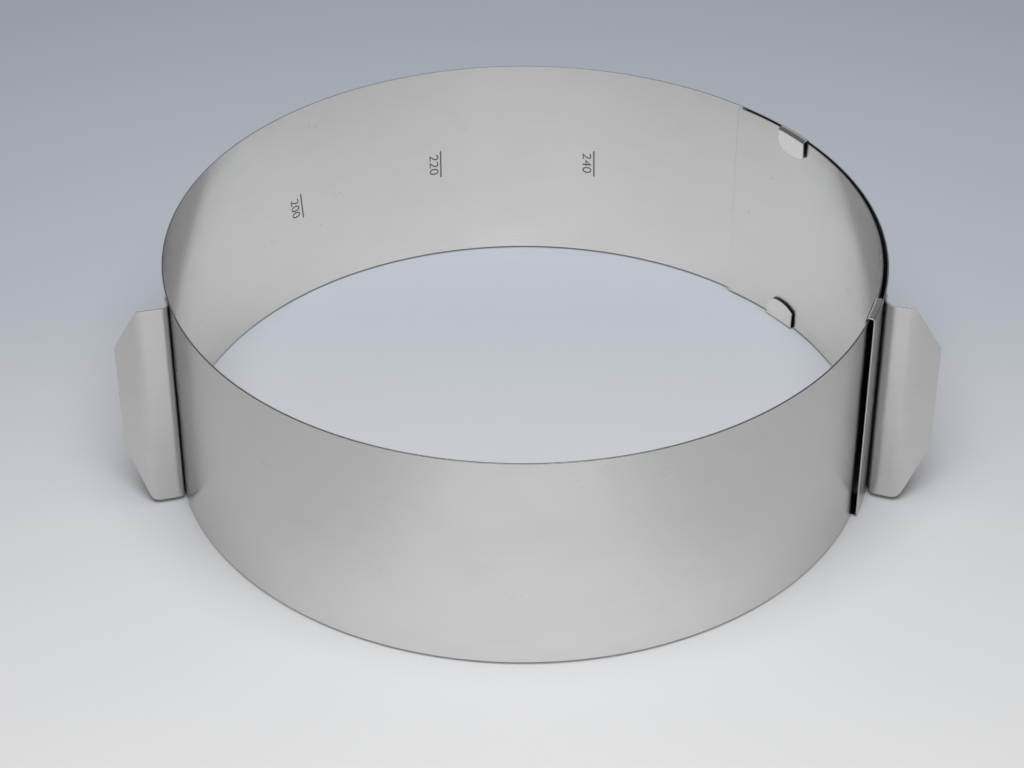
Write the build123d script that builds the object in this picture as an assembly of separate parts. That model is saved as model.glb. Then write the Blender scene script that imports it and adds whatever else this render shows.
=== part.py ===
from build123d import *
import math
import os

# Adjustable cake ring, in millimetres, +Z up
# One long thin steel strip is coiled into a ring that overlaps itself.
# Its outer end has folded hooks, and a little further along it has folded tabs.
# Both hold the inner layer, which slides through them when the ring is set wider or narrower.
# Two bent sheet wings, welded to the outside of the strip, are the grips.
# The ring's axis is Z, and z = 0 is the surface that the ring stands on.
# Angles run counter-clockwise from +X, seen from above, and the strip runs that way from its outer end.

# Sizes of the ring
set_diameter = 260.0
largest_diameter = 300.0
end_overlap = 27.2
band_height = 85.0
band_sheet = 0.5
outer_end_spacing = 2.1
tab_spacing = 1.2
inner_end_spacing = 1.6
outer_end_angle = -22.0

# Links of the strip, which stand in for its bending, with an upright hinge line between neighbours
link_count = 34
hinge_seam = 0.1

# Folded hooks at the outer end, and folded tabs further along
fold_bend = 0.7
fold_clearance = 0.4
lip_depth = 9.6
lip_edge_radius = 16.0
hook_link = 0
hook_start = 0.3
hook_length = 13.5
hook_lip_clearance = 0.3
hook_lip_lean = 0.15
tab_link = 4
tab_start = 11.2
tab_length = 14.6
tab_lip_clearance = 0.7
tab_lip_lean = 0.5

# Wings, each with a flange on the strip, a root that stands out and a flap that is bent back
wing_sheet = 0.6
wing_height = 83.1
wing_lift = 0.9
weld_clearance = 0.03
flange_width = 7.0
root_width = 11.5
flap_width = 12.2
flap_rise = 20.0
flap_bend = 3.0
lower_bend_corner = 3.5
lower_tip_corner = 5.0
upper_bend_corner = 1.0
upper_tip_corner = 2.2
right_wing_link = 0
right_wing_place = 13.2
right_wing_bend = 2.6
right_root_turn = -3.0
right_flap_turn = 45.0
left_wing_link = 17
left_wing_place = 10.9
left_wing_bend = 1.3
left_root_turn = 1.0
left_flap_turn = 52.0

# Worked out from the sizes above
set_radius = set_diameter / 2
strip_length = math.pi * largest_diameter + end_overlap
first_turn = math.pi * (2 * set_radius - outer_end_spacing)
overlap = strip_length - first_turn
link_length = strip_length / link_count
tab_middle = tab_link * link_length + tab_start + tab_length / 2
half_sheet = band_sheet / 2
band_bottom = fold_clearance + band_sheet
band_middle = band_bottom + band_height / 2
band_top = band_bottom + band_height
wing_bottom = band_bottom + wing_lift


def layer_spacing(along):
    """Distance between the two layers' middles: it eases down to the tabs, and the inner end stands off."""
    if along > tab_middle:
        share = (along - tab_middle) / (overlap - tab_middle)
        return tab_spacing + (inner_end_spacing - tab_spacing) * share
    share = along / tab_middle
    return outer_end_spacing + (tab_spacing - outer_end_spacing) * share * share * (3 - 2 * share)


def strip_radius(along):
    """Radius of the strip's middle surface this far along the strip from its outer end."""
    if along > first_turn:
        return strip_radius(along - first_turn) - layer_spacing(along - first_turn)
    return set_radius - outer_end_spacing * along / first_turn


def strip_angle(along):
    """Angle in radians of the same point, from the mean radius of each stretch before it."""
    outer = min(along, first_turn)
    outer_turn = 2 * outer / (strip_radius(0) + strip_radius(outer))
    inner_turn = 2 * (along - outer) / (strip_radius(outer) + strip_radius(along))
    return math.radians(outer_end_angle) + outer_turn + inner_turn


def strip_point(along):
    """The same point, seen from above."""
    angle = strip_angle(along)
    return Vector(math.cos(angle), math.sin(angle)) * strip_radius(along)


def hinge_point(number):
    """Hinge line between link number - 1 and link number, seen from above."""
    return strip_point(number * link_length)


def link_arc(number):
    """Round arc of one link, which passes through the spiral at both ends and in the middle."""
    start = number * link_length
    return ThreePointArc(hinge_point(number), strip_point(start + link_length / 2), hinge_point(number + 1))


def link_frame(number, along):
    """Plane on a link's middle surface: x points out of the ring, y along the strip and z up."""
    arc = link_arc(number)
    place = arc @ (along / arc.length)
    return Plane(origin=place, x_dir=place - arc.arc_center, z_dir=(0, 0, 1))


def bent_side(points, bends, thickness, side):
    """One side of a bent sheet: side is 1 for the left of the points and -1 for the right."""
    corners = [Vector(*point) for point in points]
    runs = [(b - a).normalized() for a, b in zip(corners, corners[1:])]
    normals = [Vector(-run.Y, run.X) for run in runs]
    line = []
    for corner, before, after in zip(corners, normals[:1] + normals, normals + normals[-1:]):
        line.append(corner + (before + after) * (side * thickness / 2 / (1 + before.dot(after))))
    radii = []
    for bend, run, next_run in zip(bends, runs, runs[1:]):
        turns_away = run.cross(next_run).Z * side < 0
        radii.append(bend + thickness if turns_away else bend)
    return FilletPolyline(*line, radius=radii)


def bent_sheet(points, bends, thickness):
    """Section of a bent sheet along its middle line, with the inside radius of each bend."""
    left = bent_side(points, bends, thickness, 1)
    right = bent_side(points, bends, thickness, -1)
    ends = [Line(left @ 0, right @ 0), Line(left @ 1, right @ 1)]
    return make_face(left.edges() + right.edges() + ends)


def plain_link(number):
    """One link of the strip, round at the hinge it ends on and flat at the hinge it starts from."""
    arc = link_arc(number)
    begins = half_sheet + hinge_seam if number > 0 else 0
    start = link_frame(number, begins)
    middle = link_frame(number, arc.length / 2)
    end = link_frame(number, arc.length)
    inside, outside = (-half_sheet, 0), (half_sheet, 0)
    outer = ThreePointArc(*(frame.from_local_coords(outside) for frame in (start, middle, end)))
    inner = ThreePointArc(*(frame.from_local_coords(inside) for frame in (start, middle, end)))
    if number < link_count - 1:
        finish = ThreePointArc(outer @ 1, end.from_local_coords((0, half_sheet)), inner @ 1)
    else:
        finish = Line(outer @ 1, inner @ 1)
    outline = make_face([outer, inner, finish, Line(outer @ 0, inner @ 0)])
    return extrude(Pos(0, 0, band_bottom) * outline, band_height, dir=(0, 0, 1))


def fold_over_top(number, along, length, lip_clearance, lip_lean):
    """Piece of the strip's top edge, folded over the inner layer, with a rounded lower edge."""
    arc = link_arc(number)
    web = band_top + fold_clearance + half_sheet
    spacing = layer_spacing(number * link_length + along)
    tip = (-(spacing + band_sheet + lip_clearance), web + half_sheet - lip_depth)
    bend = (tip[0] - lip_lean, web)
    section = bent_sheet([(0, band_top - band_sheet), (0, web), bend, tip], [fold_bend] * 2, band_sheet)
    start = link_frame(number, along)
    upright = Plane(origin=start.origin, x_dir=start.x_dir, z_dir=-start.y_dir)
    swept = revolve(upright * section, Axis(arc.arc_center, (0, 0, 1)), math.degrees(length / arc.radius))
    middle = link_frame(number, along + length / 2)
    lip_centre = middle.origin + Vector(0, 0, tip[1] + lip_edge_radius)
    rounded = Plane(origin=lip_centre, z_dir=middle.x_dir) * Cylinder(lip_edge_radius, lip_edge_radius)
    return swept & rounded


def fold_pair(number, along, length, lip_clearance, lip_lean):
    """The same fold on the top edge and on the bottom edge."""
    top = fold_over_top(number, along, length, lip_clearance, lip_lean)
    return [top, mirror(top, about=Plane.XY.offset(band_middle))]


def further(point, distance, turn, side):
    """Point this far on, in a direction turned from straight outward towards the flange's side."""
    angle = math.radians(turn)
    return (point[0] + distance * math.cos(angle), point[1] + distance * side * math.sin(angle))


def wing(number, place, side, root_bend, root_turn, flap_turn):
    """Bent sheet grip: side is 1 where its flange runs along the strip and -1 where it runs back."""
    frame = link_frame(number, place + side * flange_width / 2)
    seat = half_sheet + weld_clearance + wing_sheet / 2
    root = (seat, -side * flange_width / 2)
    corner = further(root, root_width, root_turn, side)
    tip = further(corner, flap_width, root_turn + flap_turn, side)
    path = [(seat, side * flange_width / 2), root, corner, tip]
    section = frame * bent_sheet(path, [root_bend, flap_bend], wing_sheet)
    sheet = extrude(Pos(0, 0, wing_bottom) * section, wing_height, dir=(0, 0, 1))

    reach = flange_width + root_width + flap_width
    corners = [lower_bend_corner, lower_tip_corner, upper_tip_corner, upper_bend_corner]
    outline = FilletPolyline(
        (-reach, 0), (0, 0), (flap_width, flap_rise), (flap_width, wing_height - flap_rise),
        (0, wing_height), (-reach, wing_height), radius=corners)
    face = make_face(outline.edges() + [Line(outline @ 1, outline @ 0)])
    flap_dir = frame.from_local_coords(tip) - frame.from_local_coords(corner)
    corner_place = frame.from_local_coords(corner) + Vector(0, 0, wing_bottom)
    flap_plane = Plane(origin=corner_place, x_dir=flap_dir, z_dir=flap_dir.cross(Vector(0, 0, 1)))
    return sheet & extrude(flap_plane * face, reach, both=True)


def strip_link(number):
    """A link with the folds that it carries."""
    link = plain_link(number)
    if number == hook_link:
        link = link + fold_pair(number, hook_start, hook_length, hook_lip_clearance, hook_lip_lean)
    if number == tab_link:
        link = link + fold_pair(number, tab_start, tab_length, tab_lip_clearance, tab_lip_lean)
    return link


def main():
    os.makedirs("parts", exist_ok=True)
    pieces = {f"strip_link_{number:02d}": strip_link(number) for number in range(link_count)}
    pieces["right_wing"] = wing(
        right_wing_link, right_wing_place, 1, right_wing_bend, right_root_turn, right_flap_turn)
    pieces["left_wing"] = wing(
        left_wing_link, left_wing_place, -1, left_wing_bend, left_root_turn, left_flap_turn)
    for name, piece in pieces.items():
        export_step(piece, f"parts/{name}.step")


main()
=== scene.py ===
import math

import bpy
import numpy as np
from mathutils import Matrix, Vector


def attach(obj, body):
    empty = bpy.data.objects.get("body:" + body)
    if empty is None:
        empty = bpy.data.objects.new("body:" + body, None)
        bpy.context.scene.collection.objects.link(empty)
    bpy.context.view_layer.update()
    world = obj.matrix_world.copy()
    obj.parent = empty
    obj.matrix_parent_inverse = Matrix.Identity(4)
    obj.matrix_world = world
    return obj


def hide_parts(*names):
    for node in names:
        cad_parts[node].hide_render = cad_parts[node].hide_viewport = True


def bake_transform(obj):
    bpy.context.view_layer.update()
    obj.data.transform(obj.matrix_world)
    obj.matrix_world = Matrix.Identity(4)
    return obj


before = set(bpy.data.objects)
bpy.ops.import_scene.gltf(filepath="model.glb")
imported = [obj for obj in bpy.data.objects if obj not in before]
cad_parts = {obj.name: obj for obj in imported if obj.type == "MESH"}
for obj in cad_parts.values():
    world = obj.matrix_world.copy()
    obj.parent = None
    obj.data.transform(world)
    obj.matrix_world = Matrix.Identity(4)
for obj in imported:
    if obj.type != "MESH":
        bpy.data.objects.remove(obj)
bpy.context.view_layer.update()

# Adjustable cake ring, in metres and degrees, +Z up, in the same frame as the imported model
# The long steel strip is one smooth band here, cut half-way along each link of the model.
# Each stretch over a hinge line stays as made, fixed to neither of its two links.
# The folds, the wings and the scale marks are pieces of their own.

# Strip, coiled from its outer end
set_diameter = 0.260
largest_diameter = 0.300
end_overlap = 0.0272
band_height = 0.085
band_sheet = 0.0005
outer_end_spacing = 0.0021
tab_spacing = 0.0012
inner_end_spacing = 0.0016
outer_end_angle = -22.0
link_count = 34
link_steps = 18

# Rounding of a sheet's outer edges and of its inner ones
edge_round = 0.0002
inner_edge_round = 0.00001
round_steps = 4

# Folded hooks at the outer end, and folded tabs further along
fold_bend = 0.0007
fold_clearance = 0.0004
fold_seat = 0.0005
lip_depth = 0.0096
lip_edge_radius = 0.016
fold_steps = 24
bend_steps = 8
hook_link = 0
hook_start = 0.0003
hook_length = 0.0135
hook_lip_clearance = 0.0003
hook_lip_lean = 0.00015
hook_corners = (0.0012, 0.0012)
tab_link = 4
tab_start = 0.0112
tab_length = 0.0146
tab_lip_clearance = 0.0006
tab_lip_lean = 0.0003
tab_corners = (0.0008, 0.0035)

# Wings: the easing is how far each of a wing's bends runs out to both sides
wing_sheet = 0.0006
wing_height = 0.0831
wing_lift = 0.0009
weld_clearance = 0.00003
flange_width = 0.007
root_width = 0.0115
flap_width = 0.0122
flap_rise = 0.020
flap_bend = 0.003
right_wing_link = 0
right_wing_place = 0.0132
right_wing_bend = 0.0026
right_wing_easing = 0.0025
right_root_turn = -3.0
right_flap_turn = 45.0
left_wing_link = 17
left_wing_place = 0.0109
left_wing_bend = 0.0013
left_wing_easing = 0.0012
left_root_turn = 1.0
left_flap_turn = 52.0
wing_steps = 90
easing_steps = 8
lower_bend_corner = 0.0035
lower_tip_corner = 0.005
upper_bend_corner = 0.001
upper_tip_corner = 0.0022

# Scale marks on the inner face: where each line starts and how high it is, its lean in degrees,
# how long and how high the digits are, and how far they stand from the line
marks = (
    {"diameter": 0.200, "bottom": 0.0368, "height": 0.0113, "lean": 4.5,
     "digits_length": 0.0085, "digits_height": 0.0040, "gap": 0.0011},
    {"diameter": 0.220, "bottom": 0.0372, "height": 0.0122, "lean": 0.0,
     "digits_length": 0.0092, "digits_height": 0.0037, "gap": 0.0007},
    {"diameter": 0.240, "bottom": 0.0366, "height": 0.0120, "lean": 1.0,
     "digits_length": 0.0092, "digits_height": 0.0037, "gap": 0.0007})
mark_line = 0.0006
mark_proud = 0.00002

# A mark for this diameter would lie at this place along the strip
inner_end_mark = 0.260
inner_end_place = 0.1619

# Height of the typeface's digits as a share of its size
typeface_share = 0.7

# Finish of each steel, with a seed for its noise, of its cut edges and of the marks
band_finish = {"colour": (0.53, 0.532, 0.535), "roughness": 0.25, "anisotropy": 0.9, "seed": 0.0}
fold_finish = {"colour": (0.54, 0.542, 0.545), "roughness": 0.18, "anisotropy": 0.5, "seed": 5.0}
wing_finish = {"colour": (0.53, 0.532, 0.535), "roughness": 0.32, "anisotropy": 0.3, "seed": 11.0}
# The band's rim steel is a sheared, rough edge, and its dark colour is painted shade, a dark line along the
# outer rims
rim_edge_and_shade_finish = {"colour": (0.20, 0.20, 0.20), "roughness": 0.45}
sheet_edge_finish = {"colour": (0.42, 0.42, 0.42), "roughness": 0.55}
ink_finish = {"colour": (0.09, 0.09, 0.09), "roughness": 0.6}

# Tint of what the steel mirrors at a grazing angle, and the turn of its grain, as a share of a full one
grazing_tint = 0.78
grain_turn = 0.25

# Noise on the sheets: patch length and height, detail, and what is added to the seed
grain_noise = (0.045, 0.00045, 3.0, 0.0)
cloud_noise = (0.035, 0.022, 2.0, 3.0)
smudge_noise = (0.011, 0.008, 4.0, 7.0)
cut_noise = (0.0004, 0.004, 3.0, 2.0)
noise_roughness = 0.55

# Ranges of the noise that show, and how far they change the shade and the roughness
noise_range = (0.3, 0.7)
smudge_range = (0.5, 0.8)
grain_shade = 0.018
cloud_shade = 0.03
smudge_shade = 0.015
cloud_roughness = 0.02
smudge_roughness = 0.015
cut_shade = 0.25
cut_roughness = 0.06
grain_bump = 0.12
grain_depth = 0.00002

# Floor as the steel mirrors it: white in the middle, and this share of it beyond the fade to both sides,
# painted shade where less light falls
floor_reach = 6.0
floor_white = (0.92, 0.92, 0.92)
floor_fade = (0.05, 0.14)
floor_side_painted_shade = 0.78

# Floor as the camera sees it, from front to back
floor_seen = (-0.20, 0.36)
floor_front = (0.66, 0.66, 0.66)
floor_middle = (0.46, 0.48, 0.53)
floor_back = (0.431, 0.470, 0.538)

# Grey room with one pale backdrop behind the object: each soft border is a range of a direction's Y for
# behind, Z for the foot and the head, and X for the sides
room = (0.20, 0.20, 0.20)
backdrop = (0.85, 0.85, 0.85)
backdrop_behind = (0.15, 0.45)
backdrop_foot = (0.22, 0.42)
backdrop_head = (0.48, 0.56)
backdrop_side = (0.35, 0.62)

# Lamp
lamp_place = (0.0, -0.34, 0.92)
lamp_target = (0.0, 0.0, 0.0)
lamp_size = 0.8
lamp_spread = 110.0
lamp_power = 4.2

# Camera, worked out from the rim, the wings and the scale marks in the photograph: its focal length
# is in the photograph's pixels, and its sensor in millimetres
camera_place = (0.0, -0.8052, 0.6107)
camera_yaw = -0.299
camera_pitch = 36.084
camera_roll = -0.074
focal_pixels = 2678.6
image_width = 1024
sensor_width = 36.0

# Worked out from the sizes above
set_radius = set_diameter / 2
strip_length = math.pi * largest_diameter + end_overlap
first_turn = math.pi * (set_diameter - outer_end_spacing)
overlap = strip_length - first_turn
link_length = strip_length / link_count
tab_middle = tab_link * link_length + tab_start + tab_length / 2
half_sheet = band_sheet / 2
band_bottom = fold_clearance + band_sheet
band_middle = band_bottom + band_height / 2
band_top = band_bottom + band_height
wing_bottom = band_bottom + wing_lift
up = Vector((0, 0, 1))


def layer_spacing(along):
    """Distance between the two layers' middles: it eases down to the tabs, and the inner end stands off."""
    if along > tab_middle:
        share = (along - tab_middle) / (overlap - tab_middle)
        return tab_spacing + (inner_end_spacing - tab_spacing) * share
    share = along / tab_middle
    return outer_end_spacing + (tab_spacing - outer_end_spacing) * share * share * (3 - 2 * share)


def strip_radius(along):
    """Radius of the strip's middle surface this far along the strip from its outer end."""
    if along > first_turn:
        return strip_radius(along - first_turn) - layer_spacing(along - first_turn)
    return set_radius - outer_end_spacing * along / first_turn


def strip_angle(along):
    """Angle in radians of the same point, from the mean radius of each stretch before it."""
    outer = min(along, first_turn)
    outer_turn = 2 * outer / (strip_radius(0) + strip_radius(outer))
    inner_turn = 2 * (along - outer) / (strip_radius(outer) + strip_radius(along))
    return math.radians(outer_end_angle) + outer_turn + inner_turn


def strip_frame(along):
    """Point on the strip's middle surface, with the ways outward and along the strip there."""
    angle = strip_angle(along)
    outward = Vector((math.cos(angle), math.sin(angle), 0))
    return outward * strip_radius(along), outward, up.cross(outward)


def add_object(name, data):
    """New object in the scene."""
    made = bpy.data.objects.new(name, data)
    bpy.context.scene.collection.objects.link(made)
    return made


# Meshes

def solid_through(name, rings, material, edge_material):
    """Closed solid through rings of (point, normal, uv, on_edge), with a flat cap at each end."""
    count = len(rings[0])
    first, second = rings[len(rings) // 2 - 1:len(rings) // 2 + 1]
    if sum((b[0] - a[0]).cross(c[0] - a[0]).dot(a[1]) for a, b, c in zip(first, first[1:], second)) < 0:
        rings = [ring[::-1] for ring in rings]
    points = [vertex[0] for ring in rings for vertex in ring]
    faces, normals, uvs, on_edges = [], [], [], []
    for first, second, start in zip(rings, rings[1:], range(0, len(points), count)):
        for i in range(count):
            j = (i + 1) % count
            corners = (first[i], first[j], second[j], second[i])
            faces.append((start + i, start + j, start + count + j, start + count + i))
            normals += [corner[1] for corner in corners]
            uvs += [corner[2] for corner in corners]
            on_edges.append(corners[0][3] or corners[1][3])
    for ring, start, way in ((rings[0], 0, -1), (rings[-1], len(points) - count, 1)):
        order = list(range(count))[::way]
        a, b, c = (ring[i][0] for i in (order[0], order[count // 3], order[2 * count // 3]))
        flat = (b - a).cross(c - a).normalized()
        faces.append([start + i for i in order])
        normals += [flat] * count
        uvs += [ring[i][2] for i in order]
        on_edges.append(False)
    mesh = bpy.data.meshes.new(name)
    mesh.from_pydata(points, [], faces)
    layer = mesh.uv_layers.new(name="metres")
    for loop, uv in zip(layer.data, uvs):
        loop.uv = uv
    mesh.materials.append(material)
    mesh.materials.append(edge_material)
    mesh.polygons.foreach_set("material_index", [int(edge) for edge in on_edges])
    mesh.polygons.foreach_set("use_smooth", [True] * len(faces))
    mesh.normals_split_custom_set(normals)
    mesh.update()
    return add_object(name, mesh)


def sheet_ring(point, side, run, low, high, half, place, inset=0.0, lean=0.0, all_edges=False):
    """Outline of an upright sheet's section, rolled over at its outer edges and sharp at its inner ones.

    The edge steel is on the outer edges only, or on all edges and on the cut ends too.
    """
    low, high, half = low + inset, high - inset, half - inset
    outer, inner = min(edge_round, half), min(inner_edge_round, half)
    quarters = (
        (1, high - outer, outer), (-1, high - inner, inner),
        (-1, low + inner, inner), (1, low + outer, outer))
    ring = []
    for quarter, (way, centre_height, radius) in enumerate(quarters):
        for step in range(round_steps + 1):
            angle = math.pi / 2 * (quarter + step / round_steps)
            normal = side * math.cos(angle) + up * math.sin(angle)
            centre = point + side * (way * (half - radius)) + up * centre_height
            normal_here = normal * math.cos(lean) + run * math.sin(lean)
            vertex = centre + normal * radius
            on_round = step != (0 if quarter in (0, 2) else round_steps)
            # On the band, the outer roundings take the dark rim steel: painted shade along the rims
            on_edge = on_round and (all_edges or way > 0) or all_edges and inset > 0
            ring.append((vertex, normal_here, (place, vertex.z), on_edge))
    return ring


def cut_end(way):
    """Places at a round cut end: distance from the end, inset, and lean of the normals."""
    places = []
    for step in range(round_steps + 1):
        angle = math.pi / 2 * step / round_steps
        places.append((edge_round * (1 - math.cos(angle)), edge_round * (1 - math.sin(angle)),
                       way * (math.pi / 2 - angle)))
    return places


def sheet_piece(name, section, places, material, edge_material,
                all_edges=False, cut_start=True, cut_finish=True):
    """Upright sheet through places along it, where section gives (point, side, run, low, high, half)."""
    rings = []
    start, finish = places[0], places[-1]
    if cut_start:
        for distance, inset, lean in cut_end(-1):
            rings.append(sheet_ring(*section(start + distance), start + distance, inset, lean, all_edges))
        places = [place for place in places if place > start + edge_round]
    if cut_finish:
        places = [place for place in places if place < finish - edge_round]
    rings += [sheet_ring(*section(place), place, all_edges=all_edges) for place in places]
    if cut_finish:
        for distance, inset, lean in reversed(cut_end(1)):
            rings.append(sheet_ring(*section(finish - distance), finish - distance, inset, lean, all_edges))
    return solid_through(name, rings, material, edge_material)


def bent_path(corners, radii):
    """Straight runs with round bends between: each is (length, start, heading, curvature)."""
    corners = [Vector(corner) for corner in corners]
    headings = [math.atan2(b.y - a.y, b.x - a.x) for a, b in zip(corners, corners[1:])]
    path, at = [], corners[0]
    for corner, heading, after, radius in zip(corners[1:], headings, headings[1:], radii):
        turn = (after - heading + math.pi) % (2 * math.pi) - math.pi
        reach = radius * math.tan(abs(turn) / 2)
        bend_start = corner - heading_vector(heading) * reach
        path.append(((bend_start - at).length, at, heading, 0.0))
        path.append((radius * abs(turn), bend_start, heading, math.copysign(1 / radius, turn)))
        at = corner + heading_vector(after) * reach
    path.append(((corners[-1] - at).length, at, headings[-1], 0.0))
    return path


def heading_vector(heading):
    """Flat unit vector that points this way."""
    return Vector((math.cos(heading), math.sin(heading)))


def on_path(path, distance):
    """Point and heading this far along a path."""
    for length, start, heading, curvature in path[:-1]:
        if distance <= length:
            break
        distance -= length
    else:
        length, start, heading, curvature = path[-1]
    if not curvature:
        return start + heading_vector(heading) * distance, heading
    turned = heading + curvature * distance
    left = heading_vector(heading + math.pi / 2) - heading_vector(turned + math.pi / 2)
    return start + left / curvature, turned


def path_length(path):
    """Length of a path from end to end."""
    return sum(segment[0] for segment in path)


# The band

def band_section(along):
    """The band's section this far along the strip."""
    point, outward, run = strip_frame(along)
    return point, outward, run, band_bottom, band_top, half_sheet


def mid_link(number):
    """Place half-way along a link, or the strip's own end past the last link."""
    return min(max((number + 0.5) * link_length, 0), strip_length)


def body_of_link(number):
    """Name of the body that carries this link."""
    return f"strip_{number:02d}"


def blend_over(piece, number):
    """Bakes a piece's place into its mesh; it stays over the hinge line between link number - 1 and link
    number, fixed to neither link.
    """
    start, finish = strip_frame(mid_link(number - 1))[0], strip_frame(mid_link(number))[0]
    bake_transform(piece)


def make_band(steel, rim_edge_and_shade):
    """The strip as one stretch over each hinge line, and a rigid half link at each end."""
    for number in range(link_count + 1):
        start = mid_link(number - 1) if number > 0 else 0
        finish = mid_link(number) if number < link_count else strip_length
        places = list(np.linspace(start, finish, link_steps + 1))
        piece = sheet_piece(f"band_{number:02d}", band_section, places, steel, rim_edge_and_shade,
                            cut_start=number == 0, cut_finish=number == link_count)
        links = [link for link in (number - 1, number) if 0 <= link < link_count]
        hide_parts(*(f"strip_link_{link:02d}" for link in links))
        if len(links) == 2:
            blend_over(piece, number)
        else:
            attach(piece, body_of_link(links[0]))


# Folds

def lip_trim(distance, length, corners):
    """How much shorter the lip is this far along it than in the middle: a bow with round corners."""
    off_middle = distance - length / 2
    trim = lip_edge_radius - math.sqrt(lip_edge_radius ** 2 - off_middle ** 2)
    for corner, to_side in zip(corners, (distance, length - distance)):
        if to_side < corner:
            trim += corner - math.sqrt(corner ** 2 - (corner - to_side) ** 2)
    return trim


def fold_places(length, corners):
    """Places along a fold, close together at its round corners."""
    places = set(np.linspace(edge_round, length - edge_round, fold_steps + 1))
    for step in range(1, bend_steps):
        share = 1 - math.cos(math.pi / 2 * step / bend_steps)
        places |= {corners[0] * share, length - corners[1] * share}
    return sorted(place for place in places if edge_round <= place <= length - edge_round)


def fold_ring(link, start, distance, length, corners, lip_clearance, lip_lean, below,
              inset=0.0, lean=0.0):
    """Outline of a fold's section: up from the band, over the inner layer and down as a lip."""
    along = link * link_length + start + distance
    point, outward, run = strip_frame(along)
    web = fold_clearance + half_sheet
    tip = -(layer_spacing(along) + band_sheet + lip_clearance)
    lip_end = web + half_sheet - lip_depth + lip_trim(distance, length, corners)
    leaned = lip_lean * (web - lip_end) / (lip_depth - half_sheet)
    bend = tip - lip_lean
    corners_2d = [(0, -fold_seat), (0, web), (bend, web), (bend + leaned, lip_end + inset)]
    path = bent_path(corners_2d, [fold_bend + half_sheet] * 2)
    total = path_length(path)
    stops = [0.0]
    for segment in path:
        pieces = bend_steps if segment[3] else 1
        stops += [stops[-1] + segment[0] * (i + 1) / pieces for i in range(pieces)]
    half = half_sheet - inset
    radius = min(edge_round, half)
    stops[-1] = total - radius
    right = [(stop, -1) for stop in stops]
    left = [(stop, 1) for stop in reversed(stops)]
    ring = []

    def add(offset, normal_2d, stop):
        way = -1 if below else 1
        base = band_middle + way * (band_height / 2)
        vertex = point + outward * offset.x + up * (base + way * offset.y)
        normal = (outward * normal_2d.x + up * (way * normal_2d.y)) * math.cos(lean)
        ring.append((vertex, normal + run * math.sin(lean), (along, base + stop), inset > 0))

    for stop, side in right:
        middle, heading = on_path(path, stop)
        normal = heading_vector(heading + side * math.pi / 2)
        add(middle + normal * half, normal, stop)
    middle, heading = on_path(path, total - radius)
    for step in range(1, 2 * round_steps):
        angle = heading - math.pi / 2 + math.pi * step / (2 * round_steps)
        normal = heading_vector(angle)
        flat = heading_vector(heading - math.pi / 2) * (half - radius)
        way = 1 if step <= round_steps else -1
        add(middle + flat * way + normal * radius, normal, total)
    for stop, side in left:
        middle, heading = on_path(path, stop)
        normal = heading_vector(heading + side * math.pi / 2)
        add(middle + normal * half, normal, stop)
    return ring


def make_fold(name, link, start, length, lip_clearance, lip_lean, corners, below, steel, edge_steel):
    """One folded hook or tab on the top or bottom edge."""
    shape = (length, corners, lip_clearance, lip_lean, below)
    rings = [fold_ring(link, start, distance, *shape, inset, lean)
             for distance, inset, lean in cut_end(-1)]
    rings += [fold_ring(link, start, place, *shape) for place in fold_places(length, corners)[1:-1]]
    rings += [fold_ring(link, start, length - distance, *shape, inset, lean)
              for distance, inset, lean in reversed(cut_end(1))]
    piece = solid_through(name, rings, steel, edge_steel)
    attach(piece, body_of_link(link))


def make_folds(steel, edge_steel):
    """The two hooks at the outer end and the two tabs."""
    for below, edge in ((False, "top"), (True, "bottom")):
        make_fold(f"hook_{edge}", hook_link, hook_start, hook_length, hook_lip_clearance, hook_lip_lean,
                  hook_corners, below, steel, edge_steel)
        make_fold(f"tab_{edge}", tab_link, tab_start, tab_length, tab_lip_clearance, tab_lip_lean,
                  tab_corners, below, steel, edge_steel)


# Wings

def corner_rise(reach, inner_corner, outer_corner):
    """How far the flap's slanted edge is from the wing's straight edge, this far from the flap's bend."""
    slope = math.atan2(flap_rise, flap_width)
    inner_tangent = inner_corner * math.tan(slope / 2)
    outer_tangent = outer_corner * math.tan((math.pi / 2 - slope) / 2)
    if reach <= -inner_tangent:
        return 0.0
    if reach <= inner_tangent * math.cos(slope):
        return inner_corner - math.sqrt(inner_corner ** 2 - (reach + inner_tangent) ** 2)
    if reach <= flap_width - outer_tangent * math.cos(slope):
        return reach * math.tan(slope)
    off = min(reach - (flap_width - outer_corner), outer_corner)
    return flap_rise + outer_tangent - math.sqrt(max(outer_corner ** 2 - off ** 2, 0))


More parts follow.
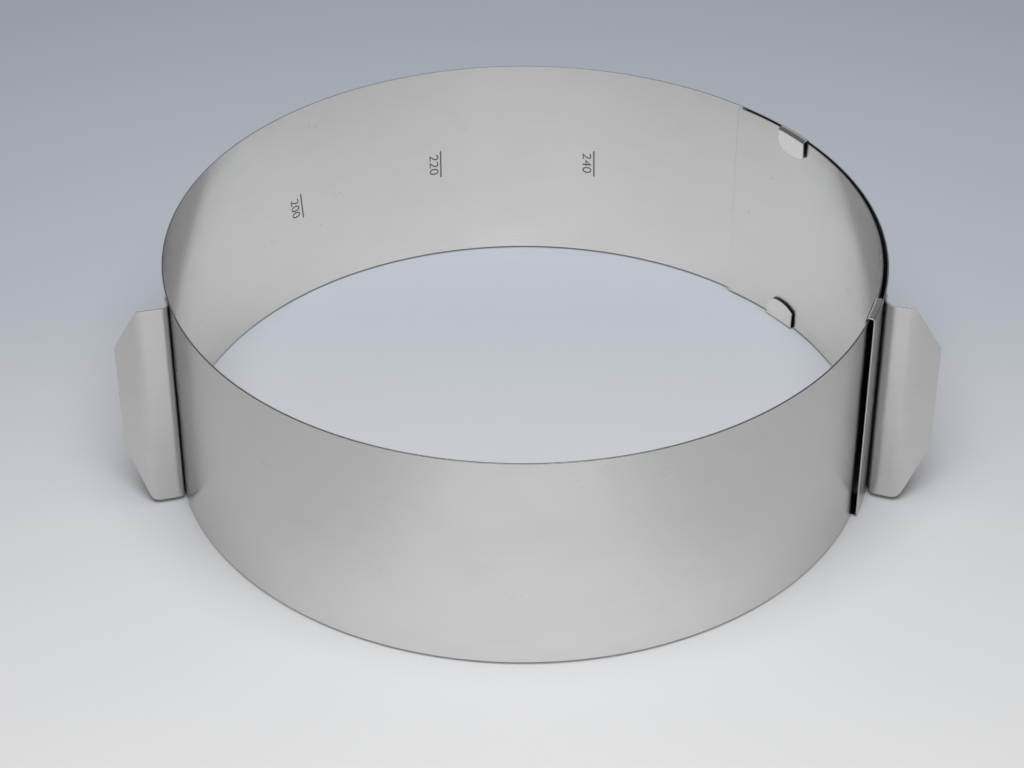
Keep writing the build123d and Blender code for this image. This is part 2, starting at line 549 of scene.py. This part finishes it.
def make_wing(name, replaced, link, place, side, root_bend, easing, root_turn, flap_turn,
              steel, edge_steel):
    """Bent sheet grip: side is 1 where its flange runs along the strip and -1 where it runs back."""
    point, outward, run = strip_frame(link * link_length + place + side * flange_width / 2)
    seat = half_sheet + weld_clearance + wing_sheet / 2

    def further(start, distance, turn):
        angle = math.radians(turn)
        return Vector((start[0] + distance * math.cos(angle), start[1] + distance * side * math.sin(angle)))

    root = (seat, -side * flange_width / 2)
    corner = further(root, root_width, root_turn)
    tip = further(corner, flap_width, root_turn + flap_turn)
    flap_way = (tip - corner).normalized()
    path = bent_path([(seat, side * flange_width / 2), root, corner, tip],
                     [root_bend + wing_sheet / 2, flap_bend + wing_sheet / 2])

    def section(distance):
        window = max(min(easing, distance, path_length(path) - distance), 0)
        middle, way = Vector((0, 0)), Vector((0, 0))
        for step in range(easing_steps + 1):
            near, heading = on_path(path, distance + window * (2 * step / easing_steps - 1))
            middle += near / (easing_steps + 1)
            way += heading_vector(heading)
        way.normalize()
        reach = (middle - corner).dot(flap_way)
        low = wing_bottom + corner_rise(reach, lower_bend_corner, lower_tip_corner)
        high = wing_bottom + wing_height - corner_rise(reach, upper_bend_corner, upper_tip_corner)
        run_here = (outward * way.x + run * way.y).normalized()
        return (point + outward * middle.x + run * middle.y, run_here.cross(up), run_here,
                low, high, wing_sheet / 2)

    places = list(np.linspace(0, path_length(path), wing_steps + 1))
    piece = sheet_piece(name, section, places, steel, edge_steel, all_edges=True)
    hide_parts(replaced)
    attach(piece, body_of_link(link))


# Scale marks

def inner_face(along, height, proud):
    """Point on the strip's inner face, or this far off it."""
    point, outward, run = strip_frame(along)
    return point - outward * (half_sheet + proud) + up * height


def wrap_on_face(piece, place):
    """Lays a flat outline, x up the wall and y against the strip's direction, on the inner face."""
    for vertex in piece.data.vertices:
        height, along, proud = vertex.co
        vertex.co = inner_face(place + along, height, proud)


def mark_place(diameter):
    """Place along the strip that the inner end reaches at this diameter."""
    return inner_end_place + math.pi * (inner_end_mark - diameter)


def make_digits(mark):
    """The diameter in millimetres as a flat outline, read from top to bottom."""
    number = round(mark["diameter"] * 1000)
    curve = bpy.data.curves.new(f"digits_{number}", "FONT")
    curve.body = str(number)
    curve.align_x = "CENTER"
    curve.size = mark["digits_height"] / typeface_share
    curve.extrude = mark_proud
    text = add_object(curve.name, curve)
    bpy.context.view_layer.update()
    mesh = bpy.data.meshes.new_from_object(text.evaluated_get(bpy.context.evaluated_depsgraph_get()))
    bpy.data.objects.remove(text)
    centre = mark["bottom"] + mark["height"] / 2
    low_x, high_x = (pick(vertex.co.x for vertex in mesh.vertices) for pick in (min, max))
    low_y, high_y = (pick(vertex.co.y for vertex in mesh.vertices) for pick in (min, max))
    for vertex in mesh.vertices:
        read = (vertex.co.x - low_x) / (high_x - low_x) - 1 / 2
        rise = (high_y - vertex.co.y) / (high_y - low_y)
        across = mark_line / 2 + mark["gap"] + mark["digits_height"] * rise
        vertex.co = Vector((centre - mark["digits_length"] * read, across, vertex.co.z))
    return add_object(f"digits_{number}", mesh)


def make_line(mark):
    """The line across the strip, as a flat box."""
    faces = [(0, 1, 3, 2), (4, 6, 7, 5), (0, 4, 5, 1), (2, 3, 7, 6), (0, 2, 6, 4), (1, 5, 7, 3)]
    mesh = bpy.data.meshes.new(f"mark_{round(mark['diameter'] * 1000)}")
    heights = (mark["bottom"], mark["bottom"] + mark["height"])
    corners = [(height, along, proud) for proud in (-mark_proud, mark_proud)
               for along in (-mark_line / 2, mark_line / 2) for height in heights]
    mesh.from_pydata(corners, [], faces)
    return add_object(mesh.name, mesh)


def make_mark(mark, ink):
    """A line across the strip and the diameter beside it, leaned and laid on the inner face."""
    place = mark_place(mark["diameter"])
    centre = mark["bottom"] + mark["height"] / 2
    slope = math.tan(math.radians(mark["lean"]))
    for piece in (make_digits(mark), make_line(mark)):
        for vertex in piece.data.vertices:
            vertex.co.y += slope * (vertex.co.x - centre)
        wrap_on_face(piece, place)
        piece.data.materials.clear()
        piece.data.materials.append(ink)
        blend_over(piece, round(place / link_length))


# Materials

def node(tree, kind, **values):
    """New node with its settings, and its input values by socket name."""
    made = tree.nodes.new(kind)
    for name, value in values.items():
        if name in made.inputs:
            made.inputs[name].default_value = value
        else:
            setattr(made, name, value)
    return made


def stretched_noise(tree, place, settings, seed):
    """Noise from 0 to 1 on a sheet's own metres, with patches of the given length and height."""
    long, high, detail, added = settings
    offset = seed + added
    mapping = node(tree, "ShaderNodeMapping",
                   Scale=(1 / long, 1 / high, 1), Location=(offset, offset, offset))
    noise = node(tree, "ShaderNodeTexNoise", Scale=1.0, Detail=detail, Roughness=noise_roughness)
    tree.links.new(place, mapping.inputs["Vector"])
    tree.links.new(mapping.outputs[0], noise.inputs["Vector"])
    return noise.outputs["Fac"]


def spread(tree, value, low, high, to_low, to_high):
    """Maps a value's range to another, smoothly and within its ends."""
    ranged = node(tree, "ShaderNodeMapRange", interpolation_type="SMOOTHSTEP",
                  **{"From Min": low, "From Max": high, "To Min": to_low, "To Max": to_high})
    tree.links.new(value, ranged.inputs["Value"])
    return ranged.outputs[0]


def combine(tree, operation, first, second):
    """Sum or product of two values."""
    maths = node(tree, "ShaderNodeMath", operation=operation)
    tree.links.new(first, maths.inputs[0])
    tree.links.new(second, maths.inputs[1])
    return maths.outputs[0]


def tinted(tree, colour, brightness):
    """A colour times a brightness."""
    tint = node(tree, "ShaderNodeVectorMath", operation="SCALE")
    tint.inputs[0].default_value = colour
    tree.links.new(brightness, tint.inputs["Scale"])
    return tint.outputs[0]


def make_steel(name, colour, roughness, anisotropy, seed):
    """Bright rolled sheet: fine grain along the sheet, faint clouds, and smudges from hands."""
    material = bpy.data.materials.new(name)
    material.use_nodes = True
    tree = material.node_tree
    shader = tree.nodes["Principled BSDF"]
    shader.inputs["Metallic"].default_value = 1.0
    shader.inputs["Specular Tint"].default_value = (grazing_tint, grazing_tint, grazing_tint, 1)
    shader.inputs["Anisotropic"].default_value = anisotropy
    shader.inputs["Anisotropic Rotation"].default_value = grain_turn
    tangent = node(tree, "ShaderNodeTangent", direction_type="UV_MAP", uv_map="metres")
    tree.links.new(tangent.outputs[0], shader.inputs["Tangent"])
    place = node(tree, "ShaderNodeUVMap", uv_map="metres").outputs[0]
    grain = stretched_noise(tree, place, grain_noise, seed)
    clouds = stretched_noise(tree, place, cloud_noise, seed)
    smudges = stretched_noise(tree, place, smudge_noise, seed)
    shade = combine(tree, "ADD", spread(tree, grain, *noise_range, -grain_shade, grain_shade),
                    spread(tree, clouds, *noise_range, -cloud_shade, cloud_shade))
    shade = combine(tree, "ADD", shade, spread(tree, smudges, *smudge_range, 0.0, -smudge_shade))
    brightness = node(tree, "ShaderNodeMath", operation="ADD")
    brightness.inputs[1].default_value = 1.0
    tree.links.new(shade, brightness.inputs[0])
    tree.links.new(tinted(tree, colour, brightness.outputs[0]), shader.inputs["Base Color"])
    low, high = roughness - cloud_roughness, roughness + cloud_roughness
    gloss = combine(tree, "ADD", spread(tree, clouds, *noise_range, low, high),
                    spread(tree, smudges, *smudge_range, 0.0, smudge_roughness))
    tree.links.new(gloss, shader.inputs["Roughness"])
    bump = node(tree, "ShaderNodeBump", Strength=grain_bump, Distance=grain_depth)
    tree.links.new(grain, bump.inputs["Height"])
    tree.links.new(bump.outputs[0], shader.inputs["Normal"])
    return material


def make_cut_steel(name, colour, roughness):
    """Edge steel, rougher than the face, with fine lines across it: a sheared edge, and where its colour is
    dark, painted shade too.
    """
    material = bpy.data.materials.new(name)
    material.use_nodes = True
    tree = material.node_tree
    shader = tree.nodes["Principled BSDF"]
    shader.inputs["Metallic"].default_value = 1.0
    place = node(tree, "ShaderNodeUVMap", uv_map="metres").outputs[0]
    lines = stretched_noise(tree, place, cut_noise, 0.0)
    brightness = spread(tree, lines, *noise_range, 1 - cut_shade, 1 + cut_shade)
    tree.links.new(tinted(tree, colour, brightness), shader.inputs["Base Color"])
    gloss = spread(tree, lines, *noise_range, roughness + cut_roughness, roughness - cut_roughness)
    tree.links.new(gloss, shader.inputs["Roughness"])
    return material


def make_paint(name, colour, roughness):
    """Plain dull colour."""
    material = bpy.data.materials.new(name)
    material.use_nodes = True
    shader = material.node_tree.nodes["Principled BSDF"]
    shader.inputs["Base Color"].default_value = (*colour, 1)
    shader.inputs["Roughness"].default_value = roughness
    return material


# Studio

def make_floor():
    """Floor that fades from front to back for the camera, and for the steel is pale in the middle with
    painted shade to both sides.
    """
    mesh = bpy.data.meshes.new("floor")
    corners = [(x * floor_reach, y * floor_reach, 0) for x, y in ((-1, -1), (1, -1), (1, 1), (-1, 1))]
    mesh.from_pydata(corners, [], [range(len(corners))])
    floor = add_object("floor", mesh)
    material = bpy.data.materials.new("floor")
    material.use_nodes = True
    tree = material.node_tree
    shader = tree.nodes["Principled BSDF"]
    shader.inputs["Roughness"].default_value = 1.0
    shader.inputs["Specular IOR Level"].default_value = 0.0
    place = node(tree, "ShaderNodeTexCoord")
    split = node(tree, "ShaderNodeSeparateXYZ")
    tree.links.new(place.outputs["Object"], split.inputs[0])

    share = node(tree, "ShaderNodeMapRange", **{"From Min": floor_seen[0], "From Max": floor_seen[1]})
    tree.links.new(split.outputs["Y"], share.inputs["Value"])
    seen = node(tree, "ShaderNodeValToRGB")
    stops = seen.color_ramp.elements
    stops[0].color, stops[1].color = (*floor_front, 1), (*floor_back, 1)
    stops.new(1 / 2).color = (*floor_middle, 1)
    tree.links.new(share.outputs[0], seen.inputs["Fac"])

    # Painted shade: the floor as the steel sees it gets darker to both sides
    sideways = node(tree, "ShaderNodeMath", operation="ABSOLUTE")
    tree.links.new(split.outputs["X"], sideways.inputs[0])
    side_shade = spread(tree, sideways.outputs[0], *floor_fade, 1.0, floor_side_painted_shade)

    light_path = node(tree, "ShaderNodeLightPath")
    mix = node(tree, "ShaderNodeMix", data_type="RGBA")
    tree.links.new(light_path.outputs["Is Camera Ray"], mix.inputs["Factor"])
    tree.links.new(tinted(tree, floor_white, side_shade), mix.inputs["A"])
    tree.links.new(seen.outputs["Color"], mix.inputs["B"])
    tree.links.new(mix.outputs["Result"], shader.inputs["Base Color"])
    mesh.materials.append(material)


def make_world():
    """Grey room with one large pale backdrop behind the object."""
    world = bpy.data.worlds.new("studio")
    bpy.context.scene.world = world
    world.use_nodes = True
    tree = world.node_tree
    background = tree.nodes["Background"]
    place = node(tree, "ShaderNodeTexCoord")
    split = node(tree, "ShaderNodeSeparateXYZ")
    tree.links.new(place.outputs["Generated"], split.inputs[0])
    sideways = node(tree, "ShaderNodeMath", operation="ABSOLUTE")
    tree.links.new(split.outputs["X"], sideways.inputs[0])
    share = spread(tree, split.outputs["Y"], *backdrop_behind, 0.0, 1.0)
    for value, edge, ends in ((split.outputs["Z"], backdrop_foot, (0.0, 1.0)),
                              (split.outputs["Z"], backdrop_head, (1.0, 0.0)),
                              (sideways.outputs[0], backdrop_side, (1.0, 0.0))):
        share = combine(tree, "MULTIPLY", share, spread(tree, value, *edge, *ends))
    mix = node(tree, "ShaderNodeMix", data_type="RGBA")
    mix.inputs["A"].default_value = (*room, 1)
    mix.inputs["B"].default_value = (*backdrop, 1)
    tree.links.new(share, mix.inputs["Factor"])
    tree.links.new(mix.outputs["Result"], background.inputs["Color"])
    background.inputs["Strength"].default_value = 1.0


def make_lamp():
    """Soft box over the front of the ring."""
    light = bpy.data.lights.new("soft_box", "AREA")
    light.shape = "DISK"
    light.size = lamp_size
    light.spread = math.radians(lamp_spread)
    light.energy = lamp_power
    lamp = add_object("soft_box", light)
    lamp.location = lamp_place
    lamp.rotation_euler = (Vector(lamp_target) - Vector(lamp_place)).to_track_quat("-Z", "Y").to_euler()


def make_camera():
    """Camera at the photograph's place."""
    yaw, pitch, roll = (math.radians(angle) for angle in (camera_yaw, camera_pitch, camera_roll))
    data = bpy.data.cameras.new("camera")
    data.sensor_width = sensor_width
    data.lens = focal_pixels * sensor_width / image_width
    camera = add_object("camera", data)
    camera.location = camera_place
    forward = Vector((math.sin(yaw) * math.cos(pitch), math.cos(yaw) * math.cos(pitch), -math.sin(pitch)))
    right = Vector((math.cos(yaw), -math.sin(yaw), 0))
    top = right.cross(forward)
    turned_right = right * math.cos(roll) + top * math.sin(roll)
    turned_top = top * math.cos(roll) - right * math.sin(roll)
    matrix = camera.matrix_world.copy()
    for row in range(3):
        matrix[row][0], matrix[row][1], matrix[row][2] = turned_right[row], turned_top[row], -forward[row]
        matrix[row][3] = camera.location[row]
    camera.matrix_world = matrix
    bpy.context.scene.camera = camera


def main():
    band_steel = make_steel("band_steel", **band_finish)
    fold_steel = make_steel("fold_steel", **fold_finish)
    # Dark rim steel: painted shade along the band's outer rims, on a sheared edge
    rim_edge_and_shade = make_cut_steel("rim_edge_and_shade", **rim_edge_and_shade_finish)
    wing_steel = make_steel("wing_steel", **wing_finish)
    sheet_edge = make_cut_steel("sheet_edge", **sheet_edge_finish)
    ink = make_paint("etched_mark", **ink_finish)
    make_band(band_steel, rim_edge_and_shade)
    make_folds(fold_steel, sheet_edge)
    make_wing("grip_right", "right_wing", right_wing_link, right_wing_place, 1, right_wing_bend,
              right_wing_easing, right_root_turn, right_flap_turn, wing_steel, sheet_edge)
    make_wing("grip_left", "left_wing", left_wing_link, left_wing_place, -1, left_wing_bend,
              left_wing_easing, left_root_turn, left_flap_turn, wing_steel, sheet_edge)
    for mark in marks:
        make_mark(mark, ink)
    make_floor()
    make_world()
    make_lamp()
    make_camera()
    bpy.context.scene.view_settings.view_transform = "Standard"


main()
